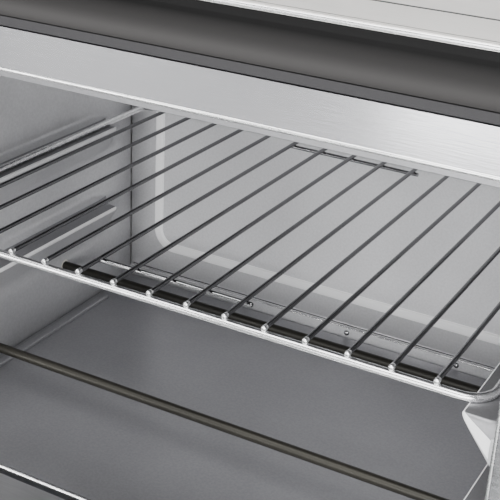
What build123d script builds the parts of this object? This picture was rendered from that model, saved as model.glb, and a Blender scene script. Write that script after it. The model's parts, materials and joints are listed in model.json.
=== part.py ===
"""Countertop toaster oven with a drop-down glass door, a wire rack and a crumb tray.

Millimetres, +Z up, the front faces -Y. The origin is on the counter, under the middle of the
box that holds the oven with its door open. The door is modelled open, lying level in front of
the cavity; the rack and the crumb tray are modelled pushed home.
"""

from build123d import *
import os

os.makedirs("parts", exist_ok=True)

# ---------------------------------------------------------------- driving dimensions

BODY_W = 486.0  # across the sides of the outer cover
BODY_D = 291.0  # face of the front frame to the face of the rear cover
HEIGHT = 316.0  # counter to the top of the outer cover
FOOT_H = 18.0
SHEET = 0.8  # sheet steel of the casing and the cavity
FIT = 0.3  # gap round sheets that are dropped in between others
CORNER_R = 8.0  # bend between the cover's top and its sides

CAVITY_W = 350.0
CAVITY_D = 265.0  # front frame's face to the cavity's back wall
CAVITY_X = -50.0  # middle of the cavity, left of the middle of the body
RACK_Z = 170.0  # middle of the rack's rods above the counter
FLOOR_Z = 36.0  # top of the crumb tray
CEILING_Z = 280.0

OPENING_W = 344.0  # door opening in the front frame
OPENING_R = 12.0
SILL_TOP_Z = 58.0
FLANGE_BOTTOM_Z = 267.3
FLANGE_TOP_Z = 287.0
LIP = 2.4  # width and depth of the rolled lip round the door opening
CEILING_LIP_Z = 263.8  # lower edge of the ceiling's front lip, which shows under the flange

TRIM_H = 4.2
TRIM_GAP = 0.5
COVE_R = 14.0
HEM_OUT = 2.2  # how far the cover's front edge stands out over the cove
BEZEL_TOP_Z = HEIGHT - 2.6
VISOR_H = 3.4  # the bezel's flat strip under the cover's front edge

ROD_D = 2.4
ROD_PITCH = 20.0
ROD_COUNT = 15
FRAME_WIRE_D = 4.0
RACK_W = 324.0  # between the middles of the side wires
RACK_SHIFT = 0.8  # the rack lies a little to the right in its side play
RACK_D = 240.0
RACK_INSET = 20.0  # front frame's face to the rack's front wire
SHORT_WIRE_W = 86.0
SHORT_WIRE_INSETS = (20.5, 15.5)  # front and rear

GUIDE_OUT = 20.0  # how far a rack guide stands out of the side wall
GUIDE_DROP = 27.0
GUIDE_PITCH = 56.0
GUIDE_END = 216.0  # front frame's face to where a guide's lip starts to close
GUIDE_CLOSE = 28.0

ELEMENT_D = 5.6
ELEMENT_FRONT = 75.0  # front frame's face to the front pair of elements
ELEMENT_REAR = 185.0
LOWER_ELEMENT_Z = 72.0
UPPER_ELEMENT_Z = 258.0

DOOR_W = 376.0
DOOR_T = 14.0
DOOR_H = 249.0
DOOR_SKIN = 1.5
DOOR_GAP = 4.0  # front frame's face to the closed door's inner face
HINGE_Z = 50.0
PIN_D = 5.0
RUNNING = 0.05  # radial clearance of a turning shaft

HANDLE_L = 300.0
HANDLE_D = 12.0
HANDLE_STAND = 26.0

PANEL_T = 2.5
KNOB_D = 40.0
KNOB_DEPTH = 20.0
KNOB_PITCH = 70.0
SHAFT_D = 6.0

SPACER_L = 12.0

# ---------------------------------------------------------------- derived places

HINGE_OUT = DOOR_GAP + DOOR_T / 2
DOOR_TOP = DOOR_H - DOOR_T / 2  # hinge axis to the door's free edge
FRONT_Y = (HINGE_OUT + DOOR_TOP - BODY_D - SPACER_L) / 2
REAR_Y = FRONT_Y + BODY_D
BACK_Y = FRONT_Y + CAVITY_D
HINGE_Y = FRONT_Y - HINGE_OUT
PANEL_Y = HINGE_Y - DOOR_T / 2  # outer face of the control panel, flush with the closed door

LEFT_X = -BODY_W / 2
RIGHT_X = BODY_W / 2
WALL_LEFT = CAVITY_X - CAVITY_W / 2
WALL_RIGHT = CAVITY_X + CAVITY_W / 2
DOOR_LEFT = LEFT_X + 3.0
DOOR_RIGHT = DOOR_LEFT + DOOR_W
DOOR_X = (DOOR_LEFT + DOOR_RIGHT) / 2
FRAME_RIGHT = DOOR_RIGHT + 3.5
PANEL_LEFT = FRAME_RIGHT + 0.5
PANEL_X = (PANEL_LEFT + RIGHT_X) / 2
KNOB_TOP_Z = 248.0

BASE_Z = FOOT_H
BASE_TOP = BASE_Z + SHEET
FRAME_WIRE_Z = RACK_Z - (ROD_D + FRAME_WIRE_D) / 2
LEDGE_Z = FRAME_WIRE_Z - FRAME_WIRE_D / 2
RACK_X = CAVITY_X + RACK_SHIFT
RACK_Y = FRONT_Y + RACK_INSET
TRIM_Z = FLANGE_TOP_Z + TRIM_GAP
BEZEL_Z = TRIM_Z + TRIM_H + TRIM_GAP
ELEMENT_YS = (FRONT_Y + ELEMENT_FRONT, FRONT_Y + ELEMENT_REAR)
KNOB_ZS = [KNOB_TOP_Z - i * KNOB_PITCH for i in range(3)]
SHIELD_X = 152.0


def front_plane(y):
    """A sketch plane that faces the front, with global X and Z as its axes."""
    return Plane((0, y, 0), x_dir=(1, 0, 0), z_dir=(0, -1, 0))


def side_plane(x):
    """A sketch plane that faces right, with global Y and Z as its axes."""
    return Plane((x, 0, 0), x_dir=(0, 1, 0), z_dir=(1, 0, 0))


def door_plane(w):
    """A plane in the open door: X across, Y from the hinge to the free edge, Z outwards."""
    return Plane((0, HINGE_Y, HINGE_Z - w), x_dir=(1, 0, 0), z_dir=(0, 0, -1))


def span(low, high):
    """The middle and the length of a stretch."""
    return (low + high) / 2, high - low


def panel(x0, x1, z0, z1, corner=0.0):
    """A rectangle between two corners, drawn in the sketch that is open."""
    x, width = span(x0, x1)
    z, height = span(z0, z1)
    with Locations((x, z)):
        if corner:
            RectangleRounded(width, height, corner)
        else:
            Rectangle(width, height)


def slab(x0, x1, y0, y1, z0, z1, mode=Mode.ADD):
    """A block between two corners, added to or cut from the part that is open."""
    x, width = span(x0, x1)
    y, depth = span(y0, y1)
    z, height = span(z0, z1)
    with Locations((x, y, z)):
        Box(width, depth, height, mode=mode)


def save(part, label):
    """Label a finished piece and write it."""
    part.label = label
    export_step(part, f"parts/{label}.step")


# ---------------------------------------------------------------- casing

VENT_W = 3.0
VENT_L = 46.0
BEAD_Y = FRONT_Y + 31.0
BEAD_W = 2.6
BEAD_DEEP = 0.6
HEM_D = HEM_OUT + COVE_R  # folded back as far as the cove's upright wall

with BuildPart() as outer_cover:
    cover_front = FRONT_Y - HEM_OUT
    with BuildSketch(front_plane(REAR_Y)) as cover_outline:
        panel(LEFT_X, RIGHT_X, BASE_Z, HEIGHT)
        fillet(cover_outline.vertices().group_by(Axis.Y)[-1], CORNER_R)
    extrude(amount=REAR_Y - cover_front)
    with BuildSketch(front_plane(REAR_Y)) as cover_hollow:
        panel(LEFT_X + SHEET, RIGHT_X - SHEET, BASE_Z - 1, HEIGHT - SHEET)
        fillet(cover_hollow.vertices().group_by(Axis.Y)[-1], CORNER_R - SHEET)
    extrude(amount=REAR_Y - cover_front, mode=Mode.SUBTRACT)
    front_rim = outer_cover.faces().sort_by(Axis.Y)[0].edges()
    rim_top = front_rim.filter_by(Axis.X).sort_by(Axis.Z)[-1]
    rim_corners = front_rim.filter_by(GeomType.CIRCLE).sort_by(SortBy.LENGTH)[-2:]
    rim_sides = front_rim.filter_by(Axis.Z).sort_by(Axis.X)
    fillet([rim_top, *rim_corners, rim_sides[0], rim_sides[-1]], SHEET * 0.7)
    # below the bezel the sides stop at the front frame
    slab(LEFT_X - 1, RIGHT_X + 1, cover_front - 1, FRONT_Y, BASE_Z - 1, BEZEL_Z, Mode.SUBTRACT)
    # the front edge of the top is folded under
    hem_low = BEZEL_TOP_Z + 0.1
    slab(LEFT_X + 10, RIGHT_X - 10, cover_front, cover_front + HEM_D, hem_low, HEIGHT - SHEET)
    # a bead is pressed across the top, and a crease runs behind the hem
    bead_end = BEAD_Y + BEAD_W
    slab(LEFT_X - 1, RIGHT_X + 1, BEAD_Y, bead_end, HEIGHT - BEAD_DEEP, HEIGHT + 1, Mode.SUBTRACT)
    crease_y = cover_front + 2.6
    slab(LEFT_X - 1, RIGHT_X + 1, crease_y, crease_y + 0.9, HEIGHT - 0.5, HEIGHT + 1, Mode.SUBTRACT)
    with BuildSketch(side_plane(RIGHT_X + 1)):
        with GridLocations(9.0, 70.0, 12, 2):
            with Locations((FRONT_Y + 200.0, 170.0)):
                SlotOverall(VENT_L, VENT_W, rotation=90)
    extrude(amount=-4, mode=Mode.SUBTRACT)
save(outer_cover.part, "outer_cover")

SCREW_D = 3.5
SCREW_HEAD_D = 7.0
GLAND_X = 190.0
GLAND_Z = 60.0
GLAND_D = 16.0
SPACER_XS = (-170.0, 170.0)
SPACER_Z = 262.0
REAR_SCREWS = [(x, z) for x in (-228.0, 0.0, 228.0) for z in (32.0, 300.0)]

with BuildPart() as rear_cover:
    with BuildSketch(front_plane(REAR_Y)) as rear_outline:
        panel(LEFT_X + SHEET + FIT, RIGHT_X - SHEET - FIT, BASE_Z, BEZEL_TOP_Z - 1)
        fillet(rear_outline.vertices().group_by(Axis.Y)[-1], CORNER_R - SHEET)
        with Locations((-50.0, 235.0)):
            with GridLocations(11.0, 1.0, 24, 1):
                SlotOverall(30.0, VENT_W, rotation=90, mode=Mode.SUBTRACT)
        with Locations((190.0, 200.0)):
            with GridLocations(11.0, 1.0, 6, 1):
                SlotOverall(60.0, VENT_W, rotation=90, mode=Mode.SUBTRACT)
        with Locations(*REAR_SCREWS):
            Circle(SCREW_D / 2 + 0.1, mode=Mode.SUBTRACT)
        with Locations((GLAND_X, GLAND_Z)):
            Circle(GLAND_D / 2 + 0.1, mode=Mode.SUBTRACT)
        with Locations(*[(x, SPACER_Z) for x in SPACER_XS]):
            Circle(2.6, mode=Mode.SUBTRACT)
    extrude(amount=SHEET)
save(rear_cover.part, "rear_cover")

with BuildPart() as rear_screws:
    with BuildSketch(front_plane(REAR_Y + 2.2)):
        with Locations(*REAR_SCREWS):
            Circle(SCREW_HEAD_D / 2)
    extrude(amount=2.2)
    with BuildSketch(front_plane(REAR_Y)):
        with Locations(*REAR_SCREWS):
            Circle(SCREW_D / 2)
    extrude(amount=7.0)
    head_rims = rear_screws.edges().filter_by(GeomType.CIRCLE).group_by(Axis.Y)[-1]
    fillet(head_rims, 0.9)
save(rear_screws.part, "rear_screws")

FOOT_INSET = 34.0
FOOT_XS = (LEFT_X + FOOT_INSET, RIGHT_X - FOOT_INSET)
FOOT_YS = (FRONT_Y + FOOT_INSET, REAR_Y - FOOT_INSET)
FOOT_SPOTS = [(x, y) for x in FOOT_XS for y in FOOT_YS]

with BuildPart() as base_pan:
    with BuildSketch(front_plane(REAR_Y - SHEET - FIT)):
        panel(LEFT_X + SHEET + FIT, RIGHT_X - SHEET - FIT, BASE_Z, BASE_Z + 12)
        panel_inside = SHEET + FIT + SHEET
        with Locations((0, BASE_TOP + 10)):
            Rectangle(BODY_W - 2 * panel_inside, 20, mode=Mode.SUBTRACT)
    extrude(amount=BODY_D - 2 * SHEET - FIT)
    with BuildSketch(Plane.XY.offset(BASE_Z - 1)):
        with Locations(*FOOT_SPOTS):
            Circle(2.1)
        with Locations((190.0, FRONT_Y + 150.0)):
            with GridLocations(9.0, 1.0, 6, 1):
                SlotOverall(VENT_L, VENT_W, rotation=90)
    extrude(amount=SHEET + 2, mode=Mode.SUBTRACT)
save(base_pan.part, "base_pan")

with BuildPart() as feet:
    with BuildSketch(Plane.XY):
        with Locations(*FOOT_SPOTS):
            Circle(11.0)
    extrude(amount=FOOT_H, taper=-6)
    foot_rims = feet.edges().filter_by(GeomType.CIRCLE).group_by(Axis.Z)[0]
    fillet(foot_rims, 1.5)
    with BuildSketch(Plane.XY):
        with Locations(*FOOT_SPOTS):
            Circle(4.6)
    extrude(amount=7.0, mode=Mode.SUBTRACT)
    with BuildSketch(Plane.XY.offset(6.0)):
        with Locations(*FOOT_SPOTS):
            Circle(2.1)
    extrude(amount=FOOT_H, mode=Mode.SUBTRACT)
save(feet.part, "feet")

with BuildPart() as foot_screws:
    with BuildSketch(Plane.XY.offset(4.4)):
        with Locations(*FOOT_SPOTS):
            Circle(4.4)
    extrude(amount=2.6)
    with BuildSketch(Plane.XY.offset(7.0)):
        with Locations(*FOOT_SPOTS):
            Circle(2.0)
    extrude(amount=FOOT_H)
save(foot_screws.part, "foot_screws")

with BuildPart() as rear_spacers:
    with BuildSketch(front_plane(REAR_Y + SPACER_L)):
        with Locations(*[(x, SPACER_Z) for x in SPACER_XS]):
            Circle(9.0)
    extrude(amount=SPACER_L)
    fillet(rear_spacers.edges().filter_by(GeomType.CIRCLE).group_by(Axis.Y)[-1], 2.5)
    with BuildSketch(front_plane(REAR_Y)):
        with Locations(*[(x, SPACER_Z) for x in SPACER_XS]):
            Circle(2.5)
    extrude(amount=6.0)
save(rear_spacers.part, "rear_spacers")

with BuildPart() as cord_gland:
    with BuildSketch(front_plane(REAR_Y + 9.0)):
        with Locations((GLAND_X, GLAND_Z)):
            Circle(11.0)
    extrude(amount=9.0)
    fillet(cord_gland.edges().filter_by(GeomType.CIRCLE).group_by(Axis.Y)[-1], 3.0)
    with BuildSketch(front_plane(REAR_Y)):
        with Locations((GLAND_X, GLAND_Z)):
            Circle(GLAND_D / 2)
    extrude(amount=8.0)
    with BuildSketch(front_plane(REAR_Y + 10.0)):
        with Locations((GLAND_X, GLAND_Z)):
            SlotOverall(9.0, 5.0)
    extrude(amount=20.0, mode=Mode.SUBTRACT)
save(cord_gland.part, "cord_gland")

# ---------------------------------------------------------------- cavity

WALL_TOP = CEILING_Z
ELEMENT_SPOTS = [(y, z) for y in ELEMENT_YS for z in (LOWER_ELEMENT_Z, UPPER_ELEMENT_Z)]
BUSH_D = 8.0
LEDGE_ZS = (LEDGE_Z, LEDGE_Z - GUIDE_PITCH)


def guide_points(ledge_z, inset, wall_x, inward):
    """A rack guide's outline: a slope off the wall, a flat ledge, a lip and a long underside."""
    return [
        (wall_x - inward * SHEET, ledge_z + 3.0 - inset),
        (wall_x, ledge_z + 3.0 - inset),
        (wall_x + inward * (7.5 - inset / 2), ledge_z - inset),
        (wall_x + inward * (GUIDE_OUT - inset), ledge_z - inset),
        (wall_x + inward * (GUIDE_OUT - inset), ledge_z - 2.2 - inset / 2),
        (wall_x, ledge_z - GUIDE_DROP + inset),
        (wall_x - inward * SHEET, ledge_z - GUIDE_DROP + inset),
    ]


def guide_end_points(ledge_z, wall_x, inward):
    """The same outline where the guide has closed down to the wall."""
    return [
        (wall_x - inward * SHEET, ledge_z - 4.0),
        (wall_x, ledge_z - 4.0),
        (wall_x + inward * 0.3, ledge_z - 4.5),
        (wall_x + inward * 0.6, ledge_z - 5.0),
        (wall_x + inward * 0.6, ledge_z - 6.0),
        (wall_x, ledge_z - GUIDE_DROP + 7.0),
        (wall_x - inward * SHEET, ledge_z - GUIDE_DROP + 7.0),
    ]


def cavity_side(wall_x, inward):
    """A side wall with two rack guides pressed out of it and holes for the element bushes."""
    guide_start = FRONT_Y + SHEET + 6.0
    guide_stop = FRONT_Y + GUIDE_END
    with BuildPart() as wall:
        outer_x = wall_x - inward * SHEET
        with BuildSketch(side_plane(min(wall_x, outer_x))):
            panel(FRONT_Y + SHEET, BACK_Y, BASE_TOP, WALL_TOP)
        extrude(amount=SHEET)
        for ledge_z in LEDGE_ZS:
            with BuildSketch(front_plane(guide_stop)):
                Polygon(*guide_points(ledge_z, 0.0, wall_x, inward), align=None)
            extrude(amount=guide_stop - guide_start)
            with BuildSketch(front_plane(guide_stop)):
                Polygon(*guide_points(ledge_z, 0.0, wall_x, inward), align=None)
            with BuildSketch(front_plane(guide_stop + GUIDE_CLOSE)):
                Polygon(*guide_end_points(ledge_z, wall_x, inward), align=None)
            loft()
        lip_x = wall_x + inward * GUIDE_OUT
        lip_edges = [
            edge
            for edge in wall.edges().filter_by(Axis.Y)
            if abs(edge.center().X - lip_x) < 0.1
        ]
        fillet(lip_edges, 0.9)
        # each guide is hollow behind
        for ledge_z in LEDGE_ZS:
            with BuildSketch(front_plane(guide_stop)):
                Polygon(*guide_points(ledge_z, 1.4, wall_x, inward), align=None)
            extrude(amount=guide_stop - guide_start - 1.4, mode=Mode.SUBTRACT)
        with BuildSketch(side_plane(wall_x - 5)):
            with Locations(*ELEMENT_SPOTS):
                Circle(BUSH_D / 2 + 0.1)
        extrude(amount=10, mode=Mode.SUBTRACT)
    return wall.part


save(cavity_side(WALL_LEFT, 1), "cavity_left_wall")
save(cavity_side(WALL_RIGHT, -1), "cavity_right_wall")

RIB_W = 7.0
RIB_OUT = 1.2
RIB_EDGE = 20.0  # side wall to the outer edge of the rib on the back wall
RIB_BOTTOM_Z = 61.0
RIB_TOP_Z = 262.0
SKIRT_TOP_Z = 44.5
SKIRT_OUT = 3.0
RIVET_R = 1.8
RIVETS = [(CAVITY_X + i * 77.5, FLOOR_Z + 3.2) for i in (-1, 0, 1)]

with BuildPart() as cavity_back_wall:
    with BuildSketch(front_plane(BACK_Y + SHEET)):
        panel(WALL_LEFT, WALL_RIGHT, BASE_TOP, WALL_TOP)
    extrude(amount=SHEET)
    # a rounded rectangular rib stiffens the panel
    with BuildSketch(front_plane(BACK_Y)):
        panel(WALL_LEFT + RIB_EDGE, WALL_RIGHT - RIB_EDGE, RIB_BOTTOM_Z, RIB_TOP_Z, 16.0)
        with Locations((CAVITY_X, (RIB_BOTTOM_Z + RIB_TOP_Z) / 2)):
            RectangleRounded(
                CAVITY_W - 2 * RIB_EDGE - 2 * RIB_W,
                RIB_TOP_Z - RIB_BOTTOM_Z - 2 * RIB_W,
                9.0,
                mode=Mode.SUBTRACT,
            )
    extrude(amount=RIB_OUT)
    rib_edges = cavity_back_wall.faces().sort_by(Axis.Y)[0].edges()
    fillet(rib_edges, 0.8)
    # the skirt steps forward at the foot of the panel
    with BuildSketch(side_plane(WALL_LEFT + FIT)):
        with BuildLine():
            Polyline(
                (BACK_Y, SKIRT_TOP_Z + SKIRT_OUT),
                (BACK_Y - SKIRT_OUT, SKIRT_TOP_Z),
                (BACK_Y - SKIRT_OUT, SKIRT_TOP_Z - 1.9),
                (BACK_Y - SKIRT_OUT / 2, SKIRT_TOP_Z - 2.7),
                (BACK_Y - SKIRT_OUT / 2, FLOOR_Z + 0.5),
                (BACK_Y, FLOOR_Z + 0.5),
                close=True,
            )
        make_face()
    extrude(amount=CAVITY_W - 2 * FIT)
save(cavity_back_wall.part, "cavity_back_wall")

with BuildPart() as back_wall_rivets:
    with BuildSketch(front_plane(BACK_Y - SKIRT_OUT / 2)):
        with Locations(*RIVETS):
            Circle(RIVET_R)
    extrude(amount=1.2)
    fillet(back_wall_rivets.edges().filter_by(GeomType.CIRCLE).group_by(Axis.Y)[0], 0.6)
save(back_wall_rivets.part, "back_wall_rivets")

with BuildPart() as cavity_ceiling:
    slab(
        WALL_LEFT - SHEET,
        WALL_RIGHT + SHEET,
        FRONT_Y + SHEET,
        BACK_Y + SHEET,
        CEILING_Z,
        CEILING_Z + SHEET,
    )
    with BuildSketch(Plane.XY.offset(CEILING_Z - 1.5)):
        for x in (CAVITY_X - 90.0, CAVITY_X + 90.0):
            with Locations((x, FRONT_Y + 133.0)):
                RectangleRounded(12.0, 200.0, 5.0)
    extrude(amount=1.5)
    # its front edge is turned down behind the flange
    lip_y = FRONT_Y + SHEET + 3.2
    slab(WALL_LEFT + FIT, WALL_RIGHT - FIT, lip_y, lip_y + SHEET, CEILING_LIP_Z, CEILING_Z)
save(cavity_ceiling.part, "cavity_ceiling")

RUNNER_W = 12.0
RUNNER_TOP = FLOOR_Z - 0.9
RUNNER_ENDS = (FRONT_Y + SHEET, BACK_Y - SKIRT_OUT)
LEFT_LEG_X = WALL_LEFT + RUNNER_W - SHEET
RIGHT_LEG_X = WALL_RIGHT - RUNNER_W

with BuildPart() as tray_runners:
    # each runner is a shelf at a side wall on an upright leg
    for x in (WALL_LEFT, WALL_RIGHT - RUNNER_W):
        slab(x, x + RUNNER_W, *RUNNER_ENDS, RUNNER_TOP - SHEET, RUNNER_TOP)
    for x in (LEFT_LEG_X, RIGHT_LEG_X):
        slab(x, x + SHEET, *RUNNER_ENDS, BASE_TOP, RUNNER_TOP)
save(tray_runners.part, "tray_runners")

# ---------------------------------------------------------------- front

TRAY_SLOT_Z = 41.0
OPENING_H = FLANGE_BOTTOM_Z - SILL_TOP_Z
OPENING_MID_Z = (FLANGE_BOTTOM_Z + SILL_TOP_Z) / 2

with BuildPart() as front_frame:
    with BuildSketch(front_plane(FRONT_Y + SHEET)):
        panel(LEFT_X + SHEET + FIT, FRAME_RIGHT, BASE_TOP, FLANGE_TOP_Z)
        with Locations((CAVITY_X, OPENING_MID_Z)):
            RectangleRounded(OPENING_W, OPENING_H, OPENING_R, mode=Mode.SUBTRACT)
        with Locations((CAVITY_X, TRAY_SLOT_Z - 20.0)):
            Rectangle(CAVITY_W - 0.5, 40.0, mode=Mode.SUBTRACT)
    extrude(amount=SHEET)
    # the edge of the door opening is rolled inwards
    with BuildSketch(front_plane(FRONT_Y + LIP)):
        with Locations((CAVITY_X, OPENING_MID_Z)):
            RectangleRounded(CAVITY_W - FIT, OPENING_H + 2 * LIP, OPENING_R + LIP)
            RectangleRounded(OPENING_W, OPENING_H, OPENING_R, mode=Mode.SUBTRACT)
    extrude(amount=LIP)
    opening_rims = [
        edge
        for face in (front_frame.faces().sort_by(Axis.Y)[0], front_frame.faces().sort_by(Axis.Y)[-1])
        for wire in face.inner_wires()
        for edge in wire.edges()
    ]
    fillet(opening_rims, LIP / 2 - 0.1)
save(front_frame.part, "front_frame")

with BuildPart() as bezel_trim:
    slab(LEFT_X + SHEET + FIT, RIGHT_X - SHEET - FIT, FRONT_Y, FRONT_Y + 2.0, TRIM_Z, TRIM_Z + TRIM_H)
    trim_edges = bezel_trim.edges().filter_by(Axis.X).group_by(Axis.Y)[0]
    fillet(trim_edges, 0.5)
save(bezel_trim.part, "bezel_trim")

with BuildPart() as front_bezel:
    cove_top = BEZEL_Z + COVE_R
    cove_y = FRONT_Y + COVE_R
    visor_y = FRONT_Y - HEM_OUT + 0.4
    visor_z = BEZEL_TOP_Z - VISOR_H
    behind_y = cove_y + 4.0
    with BuildSketch(side_plane(LEFT_X + SHEET + FIT)):
        with BuildLine():
            CenterArc((FRONT_Y, cove_top), COVE_R, 270, 90)
            Polyline(
                (cove_y, cove_top),
                (cove_y, visor_z),
                (visor_y, visor_z),
                (visor_y, BEZEL_TOP_Z),
                (behind_y, BEZEL_TOP_Z),
                (behind_y, cove_top),
                (FRONT_Y + 9.0, BEZEL_Z),
                (FRONT_Y, BEZEL_Z),
            )
        make_face()
    extrude(amount=BODY_W - 2 * (SHEET + FIT))
    # its top corners follow the cover's bends
    with BuildSketch(front_plane(behind_y + 1)) as bezel_outline:
        panel(LEFT_X + SHEET + FIT, RIGHT_X - SHEET - FIT, BEZEL_Z - 10, BEZEL_TOP_Z)
        fillet(bezel_outline.vertices().group_by(Axis.Y)[-1], CORNER_R - SHEET)
    extrude(amount=COVE_R + 10, mode=Mode.INTERSECT)
save(front_bezel.part, "front_bezel")

# ---------------------------------------------------------------- controls

LAMP_Z = 66.0
LAMP_D = 8.0
PANEL_TOP_Z = TRIM_Z + TRIM_H - 0.4
PANEL_BACK_Y = PANEL_Y + PANEL_T

with BuildPart() as control_panel:
    slab(PANEL_LEFT, RIGHT_X, PANEL_Y, FRONT_Y, BASE_Z, PANEL_TOP_Z)
    upright = control_panel.edges().filter_by(Axis.Z).group_by(Axis.Y)[0]
    fillet(upright, 2.0)
    slab(
        PANEL_LEFT + PANEL_T,
        RIGHT_X - PANEL_T,
        PANEL_BACK_Y,
        FRONT_Y + 1,
        BASE_Z + PANEL_T,
        PANEL_TOP_Z - PANEL_T,
        Mode.SUBTRACT,
    )
    with BuildSketch(front_plane(PANEL_Y)):
        with Locations(*[(PANEL_X, z) for z in KNOB_ZS]):
            Circle(5.1)
        with Locations((PANEL_X, LAMP_Z)):
            Circle(LAMP_D / 2 + 0.1)
    extrude(amount=-PANEL_T, mode=Mode.SUBTRACT)
save(control_panel.part, "control_panel")

with BuildPart() as control_bracket:
    # a plate behind the panel carries the three controls
    bracket_y = FRONT_Y + 3.0
    with BuildSketch(front_plane(bracket_y + SHEET)):
        panel(SHIELD_X + 3.0, RIGHT_X - SHEET - FIT, BASE_TOP + 12, TRIM_Z - 8)
        with Locations(*[(PANEL_X, z) for z in KNOB_ZS]):
            Circle(5.1, mode=Mode.SUBTRACT)
        with Locations((PANEL_X, LAMP_Z)):
            Circle(5.0, mode=Mode.SUBTRACT)
    extrude(amount=SHEET)
save(control_bracket.part, "control_bracket")

SHAFT_FRONT_Y = PANEL_Y - 12.0
SHAFT_BACK_Y = bracket_y + SHEET + 14.0
KNOB_GAP = 1.0


def control_body(z, shape):
    """A control behind the bracket: its case, its threaded neck and the bore for its shaft."""
    case_y = bracket_y + SHEET
    with BuildPart() as body:
        with BuildSketch(front_plane(case_y + 24.0)):
            with Locations((PANEL_X, z)):
                if shape == "box":
                    RectangleRounded(40.0, 34.0, 3.0)
                else:
                    Circle(shape / 2)
        extrude(amount=24.0)
        with BuildSketch(front_plane(case_y)):
            with Locations((PANEL_X, z)):
                Circle(5.0)
        extrude(amount=case_y - PANEL_Y - 0.6)
        with BuildSketch(front_plane(SHAFT_BACK_Y + 0.5)):
            with Locations((PANEL_X, z)):
                Circle(SHAFT_D / 2 + RUNNING)
        extrude(amount=SHAFT_BACK_Y + 0.5 - PANEL_Y + 2, mode=Mode.SUBTRACT)
        for side in (-1, 1):
            slab(
                PANEL_X + side * 8.0 - 3.0,
                PANEL_X + side * 8.0 + 3.0,
                case_y + 24.0,
                case_y + 32.0,
                z - 0.4,
                z + 0.4,
            )
    return body.part


def control_shaft(z):
    """A control's turning shaft, from inside its case to inside the knob."""
    with BuildPart() as shaft:
        with BuildSketch(front_plane(SHAFT_BACK_Y)):
            with Locations((PANEL_X, z)):
                Circle(SHAFT_D / 2)
        extrude(amount=SHAFT_BACK_Y - SHAFT_FRONT_Y)
    return shaft.part


def knob(z):
    """A round knob with a skirt, a raised grip bar and a bore for the shaft."""
    back_y = PANEL_Y - KNOB_GAP
    front_y = PANEL_Y - KNOB_GAP - KNOB_DEPTH
    with BuildPart() as turned:
        with BuildSketch(front_plane(back_y)):
            with Locations((PANEL_X, z)):
                Circle(KNOB_D / 2)
        extrude(amount=4.0)
        with BuildSketch(front_plane(back_y - 4.0)):
            with Locations((PANEL_X, z)):
                Circle(KNOB_D / 2 - 3.0)
        extrude(amount=KNOB_DEPTH - 8.0, taper=3)
        with BuildSketch(front_plane(front_y + 5.0)):
            with Locations((PANEL_X, z)):
                RectangleRounded(9.0, KNOB_D - 8.0, 3.0)
        extrude(amount=5.0)
        grip_rim = turned.faces().sort_by(Axis.Y)[0].edges()
        fillet(grip_rim, 1.2)
        with BuildSketch(front_plane(back_y + 1)):
            with Locations((PANEL_X, z)):
                Circle(SHAFT_D / 2)
        extrude(amount=back_y + 1 - SHAFT_FRONT_Y, mode=Mode.SUBTRACT)
    return turned.part


CONTROLS = (
    ("temperature", "thermostat", "box"),
    ("function", "function_switch", 36.0),
    ("timer", "timer", 44.0),
)
for (use, control, shape), knob_z in zip(CONTROLS, KNOB_ZS):
    save(control_body(knob_z, shape), control)
    save(control_shaft(knob_z), f"{use}_shaft")
    save(knob(knob_z), f"{use}_knob")

with BuildPart() as timer_bell:
    bell_y = bracket_y + SHEET + 34.0
    with BuildSketch(front_plane(bell_y + 9.0)):
        with Locations((PANEL_X, KNOB_ZS[2] - 2.0)):
            Circle(17.0)
    extrude(amount=9.0)
    fillet(timer_bell.edges().filter_by(GeomType.CIRCLE).group_by(Axis.Y)[-1], 5.0)
    with BuildSketch(front_plane(bell_y + 8.0)):
        with Locations((PANEL_X, KNOB_ZS[2] - 2.0)):
            Circle(14.0)
    extrude(amount=9.0, mode=Mode.SUBTRACT)
    with BuildSketch(front_plane(bell_y + 8.5)):
        with Locations((PANEL_X, KNOB_ZS[2] - 2.0)):
            Circle(3.0)
    extrude(amount=18.5)
save(timer_bell.part, "timer_bell")

with BuildPart() as lamp_lens:
    with BuildSketch(front_plane(PANEL_BACK_Y)):
        with Locations((PANEL_X, LAMP_Z)):
            Circle(LAMP_D / 2)
    extrude(amount=PANEL_T + 1.6)
    fillet(lamp_lens.edges().filter_by(GeomType.CIRCLE).group_by(Axis.Y)[0], 1.2)
    with BuildSketch(front_plane(PANEL_BACK_Y + 1.5)):
        with Locations((PANEL_X, LAMP_Z)):
            Circle(LAMP_D / 2 + 1.5)
    extrude(amount=1.5)
save(lamp_lens.part, "lamp_lens")

with BuildPart() as pilot_lamp:
    with BuildSketch(front_plane(PANEL_BACK_Y + 14.0)):
        with Locations((PANEL_X, LAMP_Z)):
            Circle(3.0)
    extrude(amount=12.5)
    with BuildSketch(front_plane(PANEL_BACK_Y + 20.0)):
        with Locations((PANEL_X, LAMP_Z)):
            Circle(4.0)
    extrude(amount=6.0)
save(pilot_lamp.part, "pilot_lamp")

with BuildPart() as heat_shield:
    with BuildSketch(side_plane(SHIELD_X)):
        panel(FRONT_Y + SHEET, REAR_Y - SHEET, BASE_TOP, BEZEL_Z - 14)
        with Locations((FRONT_Y + 150.0, 240.0)):
            with GridLocations(12.0, 1.0, 10, 1):
                SlotOverall(40.0, 4.0, rotation=90, mode=Mode.SUBTRACT)
    extrude(amount=SHEET)
save(heat_shield.part, "heat_shield")

BLOCK_X = 190.0
BLOCK_Y = REAR_Y - 50.0

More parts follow.
